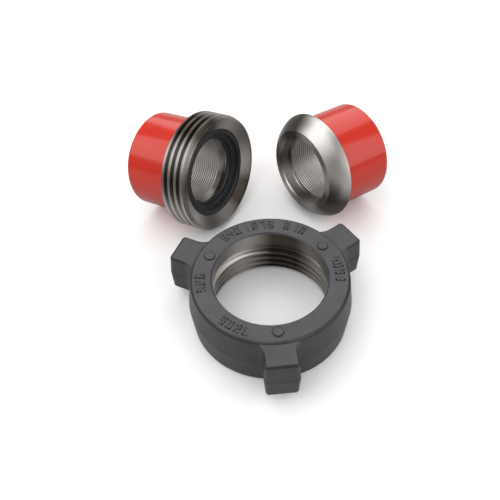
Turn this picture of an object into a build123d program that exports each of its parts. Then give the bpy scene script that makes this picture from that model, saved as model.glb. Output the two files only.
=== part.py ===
"""Two inch hammer union, taken apart: wing nut, thread end sub, lip seal and nut end sub.

Units are millimetres and +Z is up.  The nut stands on its thread end.  Both subs lie on their
sides behind it, on the same ground plane z = 0.  Places are first given from the nut's axis,
then the whole set is centred over the origin.
"""
import os
from math import atan2, cos, degrees, hypot, pi, radians, sin, tan

from build123d import *

# ---------------------------------------------------------------- ACME union thread
PITCH = 6.35                  # four threads per inch, right hand, single start
THREAD_R = 50.0               # major radius of the external thread
FLANK_HALF = radians(14.5)    # half of the 29 degree ACME angle
CREST_W = 0.3707 * PITCH      # crest width of the basic form
THREAD_DEPTH = 0.5 * PITCH
THREAD_CLEAR = 0.25           # radial clearance at the nut's major radius
ROOT_CLEAR = 0.2              # radial clearance at the sub's root

# ---------------------------------------------------------------- wing nut forging
NUT_H = 49.0
FACE_R = 62.0                 # rim of the upper and lower faces
PARTING_R = 64.5              # body radius at the parting line, half way up
FACE_FILLET = 2.6
NUT_MINOR_R = THREAD_R - THREAD_DEPTH
NUT_MAJOR_R = THREAD_R + THREAD_CLEAR
COLLAR_CLEAR = 0.3            # collar of the nut end sub to the crests of the nut
SHOULDER_R = 45.0             # bore of the nut's inner shoulder
SHOULDER_BAND = 13.0          # straight height of that bore
SHOULDER_SLOPE = 40.0         # degrees, seat that bears on the collar's back
MOUTH_CHAMFER = 1.1
RELIEF_W = 4.2                # undercut between the seat and the thread
RELIEF_R = NUT_MAJOR_R + 0.4
ENTRY_R = NUT_MAJOR_R + 1.5   # thread entry chamfer at the lower face

# ---------------------------------------------------------------- hammer lugs
LUG_COUNT = 3
LUG_AZIMUTH = 34.0            # degrees, first lug from +X
LUG_TIP_R = 83.0              # at the parting line
LUG_W = 27.5                  # across the striking faces near the tip
LUG_H = 37.0
LUG_TOP_GAP = 1.6             # lug top below the upper face
LUG_ROOT_R = 13.0             # root radius between the lug and the round body
LUG_CORNER_R = 4.0
LUG_DRAFT = 4.0               # degrees, forging draft of the striking faces and the tip
LUG_EDGE = 2.2
BOSS_PCR = 52.0               # three raised round marks on the upper face
BOSS_R = 4.1
BOSS_H = 0.8

# ---------------------------------------------------------------- pipe sockets
PIPE_MINOR_R = 28.3           # 2 inch line pipe thread, straight basic bore
PIPE_MOUTH_R = 30.6

# ---------------------------------------------------------------- thread end sub
BODY_R = 41.0                 # both bodies are turned from the same bar size
THREAD_SUB_L = 69.4
THREAD_L = 24.4               # front face to the end of the rear crest
THREAD_BACK = 26.4            # foot of the chamfer behind the rear crest
THREAD_RUNOUT = 3.4           # rear crest to the middle of the groove's blunt end
RIM_LAND = 2.2                # flat ring between the seat and the first crest's chamfer
RIM_CHAMFER = 1.6
SEAL_R = 38.0                 # seal pocket
SEAL_POCKET_Z = 4.8           # depth of the pocket's mouth below the rim
SEAL_POCKET_L = 9.0
SEAL_BORE_R = 28.6
LAND_L = 5.0                  # bright land behind the seal
THREAD_SUB_YAW = 56.2
THREAD_SUB_FRONT = (-38.0, 110.8)

# ---------------------------------------------------------------- nut end sub
NUT_SUB_L = 62.9
COLLAR_R = NUT_MINOR_R - COLLAR_CLEAR
COLLAR_AT = 13.6              # nose face to the front of the collar's widest land
COLLAR_LAND = 1.9
COLLAR_BACK = 3.2             # length of the sloped back of the collar
NOSE_R = 36.3                 # flat ring of the nose
NOSE_BORE_R = 29.6
NOSE_BORE_L = 9.6
BALL_BULGE = 1.3              # crown of the ball face over its chord
NUT_SUB_YAW = -55.7
NUT_SUB_FRONT = (32.6, 116.3)

BACK_CHAMFER = 1.2
BACK_MOUTH = 2.3              # depth of the lead-in cone at the welded or screwed end


def turned(points):
    """Solid of revolution about Z from a closed list of (radius, z) points."""
    outline = Polyline(*[(r, 0, z) for r, z in points], close=True)
    return revolve(make_face(outline), Axis.Z)


def thread_cutter(root_r, outer_r, crest_r, start, turns, phase):
    """Helical groove solid, its mouth at crest_r leaving a crest of the basic width.

    root_r is where the groove ends: inside outer_r for an external thread, outside it for an
    internal one.  phase turns the start of the groove about Z.
    """
    space = PITCH - CREST_W
    mouth = space / 2 + abs(outer_r - crest_r) * tan(FLANK_HALF)
    floor = space / 2 - abs(crest_r - root_r) * tan(FLANK_HALF)
    section = [(outer_r, -mouth), (outer_r, mouth), (root_r, floor), (root_r, -floor)]
    if root_r > outer_r:
        section.reverse()
    path = Pos(0, 0, start) * Helix(PITCH, PITCH * turns, (root_r + outer_r) / 2)
    outline = Polyline(*[(r, 0, start + z) for r, z in section], close=True)
    return Rot(0, 0, phase) * sweep(make_face(outline), path=path, is_frenet=True)


def cut_thread(blank, root_r, outer_r, crest_r, start, turns, in_metal):
    """Cut a thread in a blank.

    in_metal is the number of turns that lie in metal, which gives the volume to expect.  The
    groove's free end is lengthened and its start turned until the cut comes out whole.
    """
    depth = abs(root_r - crest_r)
    width = PITCH - CREST_W - depth * tan(FLANK_HALF)
    expected = width * depth * 2 * pi * crest_r * in_metal
    internal = root_r > outer_r
    for phase in (0, 17, 41, 95, 200):
        for shift in (0.0, 0.13, 0.3, 0.07, 0.21):
            for more in (0.0, -0.12, 0.1, -0.06, 0.05):
                first = start - shift * PITCH if internal else start
                groove = thread_cutter(
                    root_r, outer_r, crest_r, first, turns + shift + more, phase
                )
                part = blank - groove
                ratio = (blank.volume - part.volume) / expected
                if 0.85 < ratio < 1.15 and len(part.solids()) == 1 and part.is_valid:
                    return part
    raise ValueError("the thread did not cut")


def wing_nut():
    """Forged nut: drafted round body, three hammer lugs, machined bore with ACME thread."""
    half = NUT_H / 2
    body = turned([(0, 0), (FACE_R, 0), (PARTING_R, half), (FACE_R, NUT_H), (0, NUT_H)])
    rims = [e for e in body.edges().filter_by(GeomType.CIRCLE) if abs(e.radius - FACE_R) < 0.01]
    body = fillet(rims, FACE_FILLET)

    lug_mid = NUT_H - LUG_TOP_GAP - LUG_H / 2
    plan = lug_plan()
    upper = extrude(Pos(0, 0, lug_mid) * plan, LUG_H / 2, taper=LUG_DRAFT)
    lower = extrude(Pos(0, 0, lug_mid) * plan, -LUG_H / 2, taper=LUG_DRAFT)
    lugs = upper + lower
    ends = [e for e in lugs.edges() if abs(e.center().Z - lug_mid) > LUG_H / 2 - 0.01]
    lugs = fillet(ends, LUG_EDGE)
    nut = body + lugs

    boss = extrude(Circle(BOSS_R), BOSS_H, taper=20)
    for i in range(LUG_COUNT):
        turn = Rot(0, 0, LUG_AZIMUTH + 360 / LUG_COUNT * i)
        nut += turn * Pos(BOSS_PCR, 0, NUT_H) * boss

    seat = (RELIEF_R - SHOULDER_R) / tan(radians(SHOULDER_SLOPE))
    z_seat = NUT_H - SHOULDER_BAND
    z_relief = z_seat - seat
    z_thread = z_relief - RELIEF_W
    run = (RELIEF_R - NUT_MINOR_R) * 0.6
    sleeve_r = ENTRY_R + 5.0
    nut -= turned([
        (0, -1), (sleeve_r, -1), (sleeve_r, z_relief), (RELIEF_R, z_relief),
        (SHOULDER_R, z_seat), (SHOULDER_R, NUT_H - MOUTH_CHAMFER),
        (SHOULDER_R + MOUTH_CHAMFER + 1, NUT_H + 1), (0, NUT_H + 1),
    ])
    sleeve = turned([
        (sleeve_r, 0), (ENTRY_R, 0), (NUT_MINOR_R, ENTRY_R - NUT_MINOR_R),
        (NUT_MINOR_R, z_thread - run), (RELIEF_R, z_thread), (RELIEF_R, z_relief),
        (sleeve_r, z_relief),
    ])
    start = -1.2 * PITCH
    turns = (z_thread + RELIEF_W / 2 - start) / PITCH
    in_metal = (z_thread - ENTRY_R + NUT_MINOR_R) / PITCH
    sleeve = cut_thread(
        sleeve, NUT_MAJOR_R, NUT_MINOR_R - 0.6, NUT_MINOR_R, start, turns, in_metal
    )
    return nut + sleeve


def lug_plan():
    """Plan of the three lugs and a hidden core, with rounded roots and tip corners."""
    core_r = PARTING_R - 3.0
    plan = Circle(core_r)
    lug = Pos(LUG_TIP_R / 2, 0) * Rectangle(LUG_TIP_R, LUG_W)
    for i in range(LUG_COUNT):
        plan += Rot(0, 0, LUG_AZIMUTH + 360 / LUG_COUNT * i) * lug
    roots = [v for v in plan.vertices() if hypot(v.X, v.Y) < core_r + 1]
    tips = [v for v in plan.vertices() if hypot(v.X, v.Y) > LUG_TIP_R - 1]
    plan = fillet(roots, LUG_ROOT_R)
    tips = [v for v in plan.vertices() if hypot(v.X, v.Y) > LUG_TIP_R - 1]
    return fillet(tips, LUG_CORNER_R)


def seal_profile():
    """Closed (radius, depth) outline shared by the seal ring and the pocket it fills."""
    z0 = SEAL_POCKET_Z
    z1 = z0 + SEAL_POCKET_L
    return z0, z1


def thread_end_sub():
    """Female sub, its front face on z = 0 and its body running to -THREAD_SUB_L."""
    z0, z1 = seal_profile()
    seat_r = THREAD_R - RIM_CHAMFER - RIM_LAND
    mid_r = (seat_r + SEAL_R) / 2 - 0.7
    root_r = THREAD_R - THREAD_DEPTH - ROOT_CLEAR
    land = z1 + LAND_L
    body = turned([
        (PIPE_MINOR_R, -land - (SEAL_BORE_R + 3.0 - PIPE_MINOR_R)), (SEAL_BORE_R + 3.0, -land),
        (SEAL_BORE_R, -z1 - 1.0), (SEAL_BORE_R, -z1), (SEAL_R, -z1), (SEAL_R, -z0),
        (mid_r, -z0 * 0.62), (mid_r, -THREAD_L), (THREAD_R - 0.8, -THREAD_L),
        (BODY_R, -THREAD_BACK), (BODY_R, -THREAD_SUB_L + BACK_CHAMFER),
        (BODY_R - BACK_CHAMFER, -THREAD_SUB_L), (PIPE_MOUTH_R, -THREAD_SUB_L),
        (PIPE_MINOR_R, -THREAD_SUB_L + BACK_MOUTH),
    ])
    ring = turned([
        (mid_r, -z0 * 0.62), (seat_r, -0.5), (seat_r, 0), (THREAD_R - RIM_CHAMFER, 0),
        (THREAD_R, -RIM_CHAMFER), (THREAD_R, -THREAD_L + 0.8), (THREAD_R - 0.8, -THREAD_L),
        (mid_r, -THREAD_L),
    ])
    start = -THREAD_L + THREAD_RUNOUT
    turns = (1.2 * PITCH - start) / PITCH
    ring = cut_thread(
        ring, root_r, THREAD_R + 0.6, THREAD_R, start, turns, -start / PITCH
    )
    return body + ring


def seal_ring():
    """Moulded lip seal in the thread end, same local frame as the sub."""
    z0, z1 = seal_profile()
    lip_r = SEAL_R - 4.4
    inner_r = SEAL_BORE_R - 0.7
    waist_r = inner_r + 1.6
    return turned([
        (SEAL_R, -z1), (SEAL_R, -z0 - 0.7), (SEAL_R - 0.7, -z0), (lip_r + 0.8, -z0 + 0.5),
        (lip_r, -z0 - 0.3), (lip_r - 0.3, -z0 - 2.4), (waist_r + 0.5, -z0 - 3.2),
        (waist_r, -z0 - 3.9), (waist_r, -z1 + 2.6), (inner_r, -z1 + 1.6), (inner_r, -z1),
    ])


def nut_end_sub():
    """Male sub, its nose face on z = 0 and its body running to -NUT_SUB_L."""
    ball = ThreePointArc(
        (NOSE_R, 0, 0),
        ((NOSE_R + COLLAR_R) / 2 + BALL_BULGE * 0.8, 0, -COLLAR_AT / 2 + BALL_BULGE * 0.6),
        (COLLAR_R, 0, -COLLAR_AT),
    )
    back = -COLLAR_AT - COLLAR_LAND
    rest = Polyline(
        (COLLAR_R, 0, -COLLAR_AT), (COLLAR_R, 0, back), (BODY_R, 0, back - COLLAR_BACK),
        (BODY_R, 0, -NUT_SUB_L + BACK_CHAMFER), (BODY_R - BACK_CHAMFER, 0, -NUT_SUB_L),
        (PIPE_MOUTH_R, 0, -NUT_SUB_L), (PIPE_MINOR_R, 0, -NUT_SUB_L + BACK_MOUTH),
        (PIPE_MINOR_R, 0, -NOSE_BORE_L - 1.4), (PIPE_MINOR_R + 0.3, 0, -NOSE_BORE_L),
        (NOSE_BORE_R, 0, -NOSE_BORE_L), (NOSE_BORE_R, 0, -0.9), (NOSE_BORE_R + 0.9, 0, 0),
        (NOSE_R, 0, 0),
    )
    return revolve(make_face(ball + rest), Axis.Z)


def lie_down(high_r, high_at, length, yaw, front_xy):
    """Placement of a sub that lies on its widest edge and on the edge of its back end.

    high_r, high_at: radius and distance behind the front of the wide edge that touches.
    """
    back_r = BODY_R
    back_at = length - BACK_CHAMFER
    tilt = atan2(high_r - back_r, back_at - high_at)
    lift = high_r * cos(tilt) + high_at * sin(tilt)
    turn = Rot(0, 0, yaw) * Rot(90 - degrees(tilt), 0, 0)
    return Pos(front_xy[0], front_xy[1], lift) * turn


def main():
    os.makedirs("parts", exist_ok=True)
    thread_place = lie_down(
        THREAD_R, THREAD_L - 0.8, THREAD_SUB_L, THREAD_SUB_YAW, THREAD_SUB_FRONT
    )
    nut_place = lie_down(
        COLLAR_R, COLLAR_AT + COLLAR_LAND, NUT_SUB_L, NUT_SUB_YAW, NUT_SUB_FRONT
    )
    nodes = {
        "wing_nut": wing_nut(),
        "thread_end_sub": thread_place * thread_end_sub(),
        "seal_ring": thread_place * seal_ring(),
        "nut_end_sub": nut_place * nut_end_sub(),
    }
    box = Compound(children=[Compound(shape.solids()) for shape in nodes.values()]).bounding_box()
    centre = Pos(-(box.min.X + box.max.X) / 2, -(box.min.Y + box.max.Y) / 2, -box.min.Z)
    for name, shape in nodes.items():
        solid = centre * shape.solids()[0]
        box = solid.bounding_box()
        print(name, len(shape.solids()), round(solid.volume, 1), box.min, box.max)
        export_step(solid, f"parts/{name}.step")


if __name__ == "__main__":
    main()
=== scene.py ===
"""Looks of a two inch hammer union, taken apart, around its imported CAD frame."""
import logging
import math
from dataclasses import dataclass, field
from enum import Enum

import bpy
from mathutils import Matrix, Vector


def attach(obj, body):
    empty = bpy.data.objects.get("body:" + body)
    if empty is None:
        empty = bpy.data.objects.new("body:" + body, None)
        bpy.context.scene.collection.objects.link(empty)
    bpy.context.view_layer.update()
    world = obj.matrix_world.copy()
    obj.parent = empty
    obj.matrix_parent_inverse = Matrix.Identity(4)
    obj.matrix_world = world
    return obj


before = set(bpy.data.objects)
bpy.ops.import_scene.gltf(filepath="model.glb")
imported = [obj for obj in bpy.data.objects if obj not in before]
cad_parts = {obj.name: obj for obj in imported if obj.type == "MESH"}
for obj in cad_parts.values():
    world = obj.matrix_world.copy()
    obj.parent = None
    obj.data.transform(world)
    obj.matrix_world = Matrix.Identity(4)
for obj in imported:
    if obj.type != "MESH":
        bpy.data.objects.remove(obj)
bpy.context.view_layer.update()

LOG = logging.getLogger("hammer_union")
logging.basicConfig(level=logging.INFO, format="%(name)s: %(message)s")

MM = 0.001
NUT_AXIS = Vector((5.3288, -50.6621, 0.0)) * MM
TOP = 49.0 * MM
LUG_AZIMUTH = 34.0
BOSS_PCR = 52.0 * MM


class Finish(Enum):
    """Surfaces of one colour."""

    BRIGHT = "turned_steel"
    RUBBER = "black_rubber"


@dataclass(frozen=True)
class Enamel:
    """Gloss paint over a turned body."""

    colour: tuple = (0.56, 0.016, 0.003)
    rough: float = 0.22
    coat: float = 0.4


@dataclass(frozen=True)
class Turned:
    """Lathe-turned steel with fine tool marks."""

    colour: tuple = (0.76, 0.735, 0.71)
    # Painted reflection: the dark sectors of turned faces, with colour as their light sectors.
    painted_reflection_dark: tuple = (0.125, 0.106, 0.086)
    rough: float = 0.38
    mark_pitch: float = 0.55 * MM


@dataclass(frozen=True)
class Forging:
    """Dark grey paint over a forged skin."""

    colour: tuple = (0.036, 0.035, 0.040)
    worn: tuple = (0.085, 0.084, 0.092)
    # Colour of the painted shade lines along the forging's edges.
    line: tuple = (0.003, 0.003, 0.0035)
    rough: float = 0.3


@dataclass(frozen=True)
class Rubber:
    """Moulded nitrile."""

    colour: tuple = (0.016, 0.016, 0.019)
    rough: float = 0.36


@dataclass(frozen=True)
class LyingSub:
    """Where a sub lies and where its paint begins.

    front is the front face's centre and out the direction it faces.  paint_from, thread_from and
    thread_to are distances behind the front, and the turn angle sets where the painted reflection,
    light and dark sectors on bare steel, lies.
    """

    name: str
    front: tuple
    out: tuple
    paint_from: float
    thread_from: float
    thread_to: float
    reflection_turn: float
    bore_r: float = 28.3 * MM

    def matrix(self) -> Matrix:
        """Frame of the sub: local +Z runs from the front face towards the back."""
        z = -Vector(self.out).normalized()
        x = Vector((0, 0, 1)).cross(z).normalized()
        y = z.cross(x)
        m = Matrix((x, y, z)).transposed().to_4x4()
        m.translation = Vector(self.front)
        return m


THREAD_END = LyingSub(
    "thread_end_sub", (-0.0326712, 0.0601379, 0.0536803), (0.8145651, -0.5453038, 0.1978065),
    0.0247, 0.0222, 0.0664, 0.6,
)
NUT_END = LyingSub(
    "nut_end_sub", (0.0379288, 0.0656379, 0.0480363), (-0.8202537, -0.5595391, 0.1187427),
    0.0168, 0.0125, 0.0600, 2.0,
)


class Sock:
    """A shader output with arithmetic, so that node trees read as formulas."""

    def __init__(self, tree: "Tree", out):
        self.tree = tree
        self.out = out

    def _math(self, op: str, *others, clamp: bool = False) -> "Sock":
        return self.tree.math(op, self, *others, clamp=clamp)

    def __add__(self, o):
        return self._math("ADD", o)

    __radd__ = __add__

    def __sub__(self, o):
        return self._math("SUBTRACT", o)

    def __rsub__(self, o):
        return self.tree.math("SUBTRACT", o, self)

    def __mul__(self, o):
        return self._math("MULTIPLY", o)

    __rmul__ = __mul__

    def __truediv__(self, o):
        return self._math("DIVIDE", o)

    def __rtruediv__(self, o):
        return self.tree.math("DIVIDE", o, self)

    def __neg__(self):
        return self._math("MULTIPLY", -1.0)

    def above(self, edge: float, soft: float) -> "Sock":
        """0 below edge, 1 above it, over a ramp of width soft.

        Args:
            edge: where the ramp is centred.
            soft: the ramp's width.
        Returns:
            The ramp's value.
        """
        return ((self - (edge - soft / 2)) / soft)._math("ADD", 0.0, clamp=True)


class Tree:
    """One material's node tree."""

    def __init__(self, name: str):
        self.mat = bpy.data.materials.new(name)
        self.mat.use_nodes = True
        self.nodes = self.mat.node_tree.nodes
        self.links = self.mat.node_tree.links
        self.nodes.clear()
        self.shader = self.node("ShaderNodeBsdfPrincipled")
        out = self.node("ShaderNodeOutputMaterial")
        self.links.new(self.shader.outputs[0], out.inputs[0])

    def node(self, kind: str, inputs: dict | None = None, **attrs):
        """Adds a node, sets its attributes and its inputs.

        Args:
            kind: the node's bl_idname.
            inputs: socket name or index to a value or a Sock.
        Returns:
            The node.
        """
        n = self.nodes.new(kind)
        for key, value in attrs.items():
            setattr(n, key, value)
        for key, value in (inputs or {}).items():
            self.feed(n.inputs[key], value)
        return n

    def feed(self, socket, value) -> None:
        """Links a Sock, or writes a constant on the socket itself."""
        if isinstance(value, Sock):
            self.links.new(value.out, socket)
        else:
            socket.default_value = value

    def math(self, op: str, *values, clamp: bool = False) -> Sock:
        """A Math node of that operation."""
        n = self.node("ShaderNodeMath", operation=op, use_clamp=clamp)
        for i, v in enumerate(values):
            self.feed(n.inputs[i], v)
        return Sock(self, n.outputs[0])

    def coords(self, m: Matrix) -> tuple:
        """Radius, angle and axial distance in the frame m, from Object coordinates."""
        inv = m.inverted()
        pos = self.node("ShaderNodeTexCoord").outputs["Object"]
        axes = []
        for row in range(3):
            dot = self.node("ShaderNodeVectorMath", operation="DOT_PRODUCT")
            self.links.new(pos, dot.inputs[0])
            dot.inputs[1].default_value = inv[row][:3]
            axes.append(Sock(self, dot.outputs["Value"]) + inv[row][3])
        x, y, z = axes
        r = self.math("SQRT", x * x + y * y)
        return r, self.math("ARCTAN2", y, x), z

    def noise(self, scale: float, detail: float = 3.0, rough: float = 0.55) -> Sock:
        """Noise on Object coordinates."""
        n = self.node("ShaderNodeTexNoise", {"Scale": scale, "Detail": detail, "Roughness": rough})
        pos = self.node("ShaderNodeTexCoord").outputs["Object"]
        self.links.new(pos, n.inputs["Vector"])
        return Sock(self, n.outputs["Fac"])

    def mix(self, fac, a, b) -> Sock:
        """Colour a where fac is 0 and b where it is 1."""
        n = self.node("ShaderNodeMix", data_type="RGBA")
        self.feed(n.inputs[0], fac)
        self.feed(n.inputs[6], a if isinstance(a, Sock) else (*a, 1.0))
        self.feed(n.inputs[7], b if isinstance(b, Sock) else (*b, 1.0))
        return Sock(self, n.outputs[2])

    def painted_reflection_fan(self, angle: Sock, turn: float) -> Sock:
        """Painted reflection: light and dark sectors of a turned face, 0 to 1, from the angle
        about its axis.
        """
        slow = self.math("COSINE", angle * 2.0 + turn)
        fast = self.math("COSINE", angle * 5.0 + turn * 2.3)
        return (slow * 0.36 + fast * 0.34 + 0.42)._math("ADD", 0.0, clamp=True)

    def band(self, value: Sock, at: float, width: float) -> Sock:
        """1 where value lies within width of at, falling to 0 outside it."""
        return (1.0 - self.math("ABSOLUTE", value - at) / width)._math("ADD", 0.0, clamp=True)

    def bump(self, height: Sock, distance: float, strength: float = 1.0) -> Sock:
        """A normal from a height."""
        n = self.node("ShaderNodeBump", {"Height": height})
        n.inputs["Strength"].default_value = strength
        n.inputs["Distance"].default_value = distance
        return Sock(self, n.outputs[0])

    def set(self, **sockets) -> None:
        """Feeds the shader; underscores in names stand for spaces."""
        for key, value in sockets.items():
            self.feed(self.shader.inputs[key.replace("_", " ")], value)


def painted_sub(place: LyingSub, paint: Enamel, steel: Turned) -> bpy.types.Material:
    """Red enamel behind the paint line on the outside, bare turned steel with a painted reflection
    elsewhere.
    """
    t = Tree(place.name + "_finish")
    r, angle, z = t.coords(place.matrix())
    outside = r.above(36.0 * MM, 0.3 * MM)
    painted = z.above(place.paint_from, 0.35 * MM) * outside
    # Bare steel: the painted reflection mixes dark and light sectors by angle about the axis.
    bare_with_reflection = t.mix(t.painted_reflection_fan(angle, place.reflection_turn), steel.painted_reflection_dark, steel.colour)
    peel = t.noise(60.0, 2.0)
    t.set(
        Base_Color=t.mix(painted, bare_with_reflection, paint.colour),
        Metallic=1.0 - painted,
        Roughness=painted * (paint.rough - steel.rough) + steel.rough,
        Coat_Weight=painted * paint.coat,
    )
    marks = t.math("SINE", (z + r) * (2 * math.pi / steel.mark_pitch)) * (1.0 - painted)
    t.set(Normal=t.bump(marks * 0.25 + peel * painted * 0.6, 0.02 * MM, 0.6))
    return t.mat


def forged_nut(skin: Forging, steel: Turned) -> bpy.types.Material:
    """Dark forging outside with painted shade lines along its edges; the bore is bare turned steel
    with a painted reflection.
    """
    t = Tree("wing_nut_finish")
    r, angle, z = t.coords(Matrix.Translation(NUT_AXIS))
    below_chamfer = 1.0 - z.above(47.8 * MM, 0.2 * MM)
    inside = (1.0 - r.above(51.9 * MM, 0.2 * MM)) * below_chamfer
    # Bore: the painted reflection mixes dark and light sectors by angle about the axis.
    bare_with_reflection = t.mix(t.painted_reflection_fan(angle, 1.2), steel.painted_reflection_dark, steel.colour)
    speck = t.noise(900.0, 4.0, 0.7)
    cloud = t.noise(45.0, 3.0)
    grey = t.mix(cloud.above(0.55, 0.5) * 0.5, skin.colour, skin.worn)
    # Painted shade: dark lines along the edges, rim fillet and boss outlines, where the forging's
    # crevices fall into shade.
    grey = t.mix(painted_shade_lines(t, r, angle, z) * 0.95, grey, skin.line)
    t.set(
        Base_Color=t.mix(inside, grey, bare_with_reflection),
        Metallic=inside,
        Roughness=inside * (steel.rough - skin.rough) + skin.rough,
    )
    marks = t.math("SINE", (z + r) * (2 * math.pi / steel.mark_pitch)) * inside
    t.set(Normal=t.bump(marks * 0.25 + (1.0 - inside) * speck * 6.0, 0.02 * MM, 0.8))
    return t.mat


def painted_shade_lines(t: Tree, r: Sock, angle: Sock, z: Sock) -> Sock:
    """Painted shade: dark lines along the forging's lug edges and tips, the face's rim fillet, the
    boss outlines, the parting line and the waist.
    """
    turn = math.radians(120.0)
    first = math.radians(LUG_AZIMUTH)
    step = t.math("WRAP", angle - first, turn / 2, -turn / 2)
    x = r * t.math("COSINE", step)
    y = r * t.math("SINE", step)
    high = z.above(TOP - 3.6 * MM, 0.5 * MM)
    side = t.math("ABSOLUTE", y)
    beyond = x.above(67.0 * MM, 3.0 * MM)
    edge = t.band(side, 12.3 * MM, 1.4 * MM) * beyond * high
    tip = t.band(x, 80.6 * MM, 1.5 * MM) * high * (1.0 - side.above(12.6 * MM, 1.0 * MM))
    on_lug = beyond * (1.0 - side.above(17.0 * MM, 2.0 * MM))
    parting = t.band(z, 28.9 * MM, 0.9 * MM) * on_lug
    waist = t.band(z, TOP / 2, 0.6 * MM) * (1.0 - on_lug) * r.above(60.0 * MM, 1.0 * MM) * 0.5
    off_lug = 1.0 - t.math("COSINE", step * 3.0).above(0.45, 0.5) * 0.75
    rim = t.band(r, 61.3 * MM, 1.7 * MM) * high * off_lug
    dx = x - BOSS_PCR
    boss_r = t.math("SQRT", dx * dx + y * y)
    boss = t.band(boss_r, 4.3 * MM, 1.1 * MM) * high
    total = edge + tip + parting + waist + rim + boss
    return total._math("ADD", 0.0, clamp=True)


def plain(finish: Finish, colour: tuple, rough: float, metal: float = 0.0) -> bpy.types.Material:
    """A material of one colour."""
    t = Tree(finish.value)
    t.set(Base_Color=(*colour, 1.0), Roughness=rough, Metallic=metal)
    return t.mat


def tree_mesh(name: str, group, values: dict, mat) -> bpy.types.Object:
    """Runs a Geometry Nodes group on an empty mesh and keeps the plain mesh.

    Args:
        name: the piece's name.
        group: the node group.
        values: input name to value.
    Returns:
        The finished object, at the origin and without modifiers.
    """
    base = bpy.data.objects.new(name + "_seed", bpy.data.meshes.new(name + "_seed"))
    bpy.context.scene.collection.objects.link(base)
    mod = base.modifiers.new("tree", "NODES")
    mod.node_group = group
    for item in group.interface.items_tree:
        if item.item_type == "SOCKET" and item.in_out == "INPUT" and item.name in values:
            mod[item.identifier] = values[item.name]
    bpy.context.view_layer.update()
    graph = bpy.context.evaluated_depsgraph_get()
    mesh = bpy.data.meshes.new_from_object(base.evaluated_get(graph), depsgraph=graph)
    bpy.data.objects.remove(base)
    obj = bpy.data.objects.new(name, mesh)
    obj.data.name = name
    bpy.context.scene.collection.objects.link(obj)
    if not mesh.materials:
        mesh.materials.append(mat)
    return obj


def helix_group(mat) -> bpy.types.NodeTree:
    """Geometry Nodes: a ridge of small round section along a helix about +Z."""
    g = bpy.data.node_groups.new("helical_ridge", "GeometryNodeTree")
    g.interface.new_socket("Geometry", in_out="OUTPUT", socket_type="NodeSocketGeometry")
    for label in ("Radius", "Pitch", "Turns", "Height"):
        g.interface.new_socket(label, in_out="INPUT", socket_type="NodeSocketFloat")
    nodes = g.nodes
    links = g.links
    gin = nodes.new("NodeGroupInput")
    out = nodes.new("NodeGroupOutput")
    spiral = nodes.new("GeometryNodeCurveSpiral")
    spiral.inputs["Resolution"].default_value = 64
    links.new(gin.outputs["Turns"], spiral.inputs["Rotations"])
    links.new(gin.outputs["Radius"], spiral.inputs["Start Radius"])
    links.new(gin.outputs["Radius"], spiral.inputs["End Radius"])
    rise = nodes.new("ShaderNodeMath")
    rise.operation = "MULTIPLY"
    links.new(gin.outputs["Turns"], rise.inputs[0])
    links.new(gin.outputs["Pitch"], rise.inputs[1])
    links.new(rise.outputs[0], spiral.inputs["Height"])
    ring = nodes.new("GeometryNodeCurvePrimitiveCircle")
    ring.inputs["Resolution"].default_value = 6
    links.new(gin.outputs["Height"], ring.inputs["Radius"])
    sweep = nodes.new("GeometryNodeCurveToMesh")
    sweep.inputs["Fill Caps"].default_value = True
    links.new(spiral.outputs["Curve"], sweep.inputs["Curve"])
    links.new(ring.outputs["Curve"], sweep.inputs["Profile Curve"])
    real = nodes.new("GeometryNodeRealizeInstances")
    links.new(sweep.outputs["Mesh"], real.inputs[0])
    paint = nodes.new("GeometryNodeSetMaterial")
    paint.inputs["Material"].default_value = mat
    links.new(real.outputs[0], paint.inputs["Geometry"])
    links.new(paint.outputs[0], out.inputs[0])
    return g


@dataclass
class PipeThread:
    """Fine ridges of the 2 inch line pipe thread in one sub."""

    place: LyingSub
    pitch: float = 25.4 / 11.5 * MM
    height: float = 0.75 * MM
    clear: float = 0.25 * MM

    def build(self, group, mat) -> bpy.types.Object:
        """Returns the finished ridge, seated in the bore."""
        span = self.place.thread_to - self.place.thread_from
        piece = tree_mesh(
            self.place.name + "_pipe_thread", group,
            {
                "Radius": self.place.bore_r + self.clear,
                "Pitch": self.pitch,
                "Turns": span / self.pitch,
                "Height": self.height,
            },
            mat,
        )
        shift = Matrix.Translation((0, 0, self.place.thread_from))
        piece.data.transform(self.place.matrix() @ shift)
        return piece


SEGMENTS = {
    "0": "abcdef", "1": "bc", "2": "abged", "3": "abgcd", "4": "fgbc",
    "5": "afgcd", "6": "afgedc", "7": "abc", "8": "abcdefg", "9": "abcdfg",
}


STROKE_QUADS = (
    (3, 2, 1, 0), (4, 5, 6, 7), (0, 1, 5, 4), (1, 2, 6, 5), (2, 3, 7, 6), (3, 0, 4, 7),
)


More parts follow.
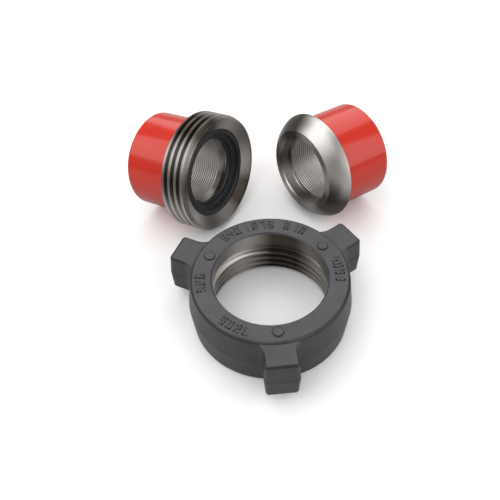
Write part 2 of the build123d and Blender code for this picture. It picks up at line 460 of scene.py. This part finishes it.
@dataclass
class FaceNumber:
    """Plain raised numerals on the nut's face, in the place of its cast words.

    angle is the middle of the number, in degrees from +X, and the numerals' heads point outwards.
    """

    name: str
    text: str
    angle: float
    radius: float = 54.2 * MM
    tall: float = 7.4 * MM
    wide: float = 4.3 * MM
    step: float = 6.6 * MM
    stroke: float = 1.25 * MM
    height: float = 0.7 * MM

    def strokes(self, digit: str) -> list:
        """Centre and half sizes of each stroke of a digit, in the digit's own plane."""
        w, h, s = self.wide / 2, self.tall / 2, self.stroke / 2
        table = {
            "a": (0, h - s, w, s), "g": (0, 0, w, s), "d": (0, -h + s, w, s),
            "b": (w - s, h / 2, s, h / 2), "c": (w - s, -h / 2, s, h / 2),
            "f": (-w + s, h / 2, s, h / 2), "e": (-w + s, -h / 2, s, h / 2),
        }
        return [table[k] for k in SEGMENTS[digit]]

    def place(self, middle: float, u: float, v: float, z: float) -> tuple:
        """Point of the row frame for plane coordinates (u, v) of the digit at angle middle."""
        out = Vector((math.cos(middle), math.sin(middle), 0.0))
        along = Vector((math.sin(middle), -math.cos(middle), 0.0))
        p = NUT_AXIS + out * (self.radius + v) + along * u
        return (p.x, p.y, TOP + z)

    def build(self, mat) -> bpy.types.Object:
        """Returns the finished number as one piece of closed, drafted strokes."""
        verts, faces = [], []
        first = math.radians(self.angle) + self.step / self.radius * (len(self.text) - 1) / 2
        for i, digit in enumerate(self.text):
            middle = first - self.step / self.radius * i
            for cu, cv, hu, hv in self.strokes(digit):
                base = len(verts)
                for grow, z in ((0.25 * MM, -0.2 * MM), (-0.15 * MM, self.height)):
                    for su, sv in ((-1, -1), (1, -1), (1, 1), (-1, 1)):
                        u = cu + su * (hu + grow)
                        v = cv + sv * (hv + grow)
                        verts.append(self.place(middle, u, v, z))
                faces += [tuple(base + k for k in quad) for quad in STROKE_QUADS]
        mesh = bpy.data.meshes.new(self.name)
        mesh.from_pydata(verts, [], faces)
        mesh.update()
        mesh.materials.append(mat)
        obj = bpy.data.objects.new(self.name, mesh)
        bpy.context.scene.collection.objects.link(obj)
        return obj


FACE_NUMBERS = (
    FaceNumber("face_number_1", "3401", 120.0),
    FaceNumber("face_number_2", "275", 94.0),
    FaceNumber("face_number_3", "618", 66.0),
    FaceNumber("face_number_4", "4093", 6.0),
    FaceNumber("face_number_5", "526", 184.0),
    FaceNumber("face_number_6", "7206", 238.0),
)


@dataclass
class Studio:
    """Floor, world and lights of a pale product picture."""

    floor_z: float = 0.0
    ambient: float = 0.55
    mirrored: float = 0.3
    floor_seen: float = 1.0
    floor_bounce: float = 0.45
    lamps: tuple = field(default_factory=lambda: (
        ("key", (-0.5, -0.1, 0.75), 1.25, 6.4),
        ("fill", (0.65, -0.3, 0.5), 0.9, 3.0),
        ("rim", (0.1, 0.75, 0.7), 1.1, 4.4),
    ))

    def build(self) -> None:
        """Adds the floor, the lamps and the world."""
        bpy.ops.mesh.primitive_plane_add(size=8.0, location=(0, 0, self.floor_z))
        floor = bpy.context.object
        floor.name = "floor"
        t = Tree("floor_white")
        seen = Sock(t, t.node("ShaderNodeLightPath").outputs["Is Camera Ray"])
        dull = (self.floor_bounce,) * 3
        t.set(Base_Color=t.mix(seen, dull, (self.floor_seen,) * 3), Roughness=0.9)
        t.shader.inputs["Specular IOR Level"].default_value = 0.1
        floor.data.materials.append(t.mat)
        for name, at, size, watts in self.lamps:
            data = bpy.data.lights.new(name, "AREA")
            data.size = size
            data.energy = watts
            lamp = bpy.data.objects.new(name, data)
            lamp.location = at
            lamp.rotation_euler = (-Vector(at)).to_track_quat("-Z", "Y").to_euler()
            bpy.context.scene.collection.objects.link(lamp)
        world = bpy.data.worlds.new("studio")
        world.use_nodes = True
        back = world.node_tree.nodes["Background"]
        back.inputs[0].default_value = (1.0, 1.0, 1.0, 1.0)
        path = world.node_tree.nodes.new("ShaderNodeLightPath")
        last = None
        for ray, low, high in (
            ("Is Glossy Ray", self.ambient, self.mirrored), ("Is Camera Ray", None, 1.0),
        ):
            level = world.node_tree.nodes.new("ShaderNodeMapRange")
            if last is None:
                level.inputs["To Min"].default_value = low
            else:
                world.node_tree.links.new(last, level.inputs["To Min"])
            level.inputs["To Max"].default_value = high
            world.node_tree.links.new(path.outputs[ray], level.inputs["Value"])
            last = level.outputs["Result"]
        world.node_tree.links.new(last, back.inputs[1])
        bpy.context.scene.world = world
        bpy.context.scene.view_settings.view_transform = "Standard"


def camera() -> None:
    """Camera looking down on the set."""
    data = bpy.data.cameras.new("camera")
    data.sensor_width = 36.0
    data.lens = 57.6
    cam = bpy.data.objects.new("camera", data)
    el = math.radians(49.47)
    roll = math.radians(-2.07)
    fwd = Vector((0, math.cos(el), -math.sin(el)))
    up = Vector((0, math.sin(el), math.cos(el)))
    right = Vector((1, 0, 0))
    r2 = math.cos(roll) * right + math.sin(roll) * up
    u2 = -math.sin(roll) * right + math.cos(roll) * up
    m = Matrix((r2, u2, -fwd)).transposed().to_4x4()
    m.translation = Vector((-14.7, -384.9, 531.5)) * MM + NUT_AXIS
    cam.matrix_world = m
    bpy.context.scene.collection.objects.link(cam)
    bpy.context.scene.camera = cam


def finish_piece(obj) -> None:
    """Ties a finished piece to the frame."""
    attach(obj, "root")


def main() -> None:
    """Builds the scene."""
    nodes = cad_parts
    steel = Turned()
    mats = {
        "thread_end_sub": painted_sub(THREAD_END, Enamel(), steel),
        "nut_end_sub": painted_sub(NUT_END, Enamel(), steel),
        "wing_nut": forged_nut(Forging(), steel),
        "seal_ring": plain(Finish.RUBBER, Rubber().colour, Rubber().rough),
    }
    for name, mat in mats.items():
        mesh = nodes[name].data
        mesh.materials.clear()
        mesh.materials.append(mat)
    thread_mat = plain(Finish.BRIGHT, steel.colour, steel.rough, 1.0)
    group = helix_group(thread_mat)
    for place, slot in ((THREAD_END, "thread_sub_body"), (NUT_END, "nut_sub_body")):
        finish_piece(PipeThread(place).build(group, thread_mat))
    for number in FACE_NUMBERS:
        finish_piece(number.build(mats["wing_nut"]))
    Studio().build()
    camera()
    LOG.info("scene built")


if __name__ == "__main__":
    main()
